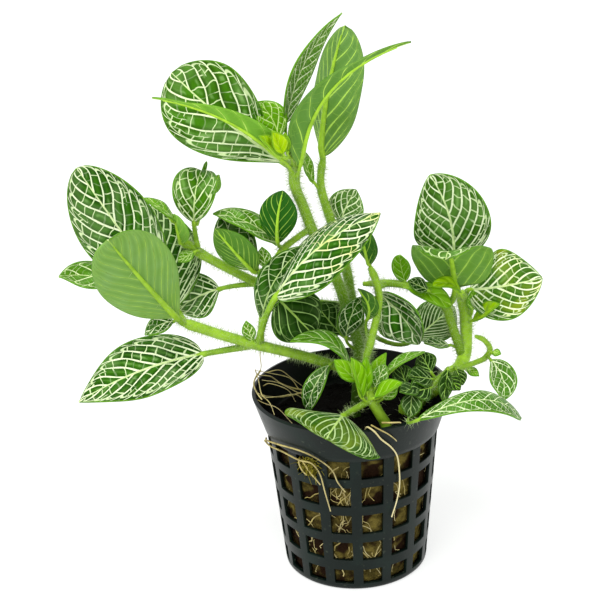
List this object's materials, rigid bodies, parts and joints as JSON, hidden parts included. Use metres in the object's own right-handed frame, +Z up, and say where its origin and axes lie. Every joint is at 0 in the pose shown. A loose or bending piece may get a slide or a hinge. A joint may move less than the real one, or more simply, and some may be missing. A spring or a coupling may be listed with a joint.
{
  "type": "potted plant",
  "caption": "Young nerve plant with white-veined leaves on hairy stems, standing in moist medium in a tapered lattice net pot with a flared rim",
  "frame": {"origin": "the centre of the pot's base, on the plane that the pot stands on", "axes": "+Z up along the pot's axis, -Y towards the plant's front, +X to the right seen from the front"},
  "size_m": [0.1216, 0.0617, 0.1469],
  "materials": {
    "pot": "black moulded plastic with a soft sheen",
    "medium": "moist dark fibrous plant medium",
    "foliage": "green leaves with white veins, satin, on pale green hairy stems",
    "root": "cream and tan roots, dull"
  },
  "bodies": {
    "root": {"net_pot": "pot", "growing_medium": "medium", "leafy_stem_tall_left": "foliage", "leafy_stem_tall_right": "foliage", "leafy_stem_front": "foliage", "leafy_stem_right": "foliage", "leafy_stem_lower_right": "foliage", "root_front": "root", "root_front_short": "root", "roots_left": "root", "roots_inside_left": "root", "root_right": "root"}
  },
  "joints": []
}
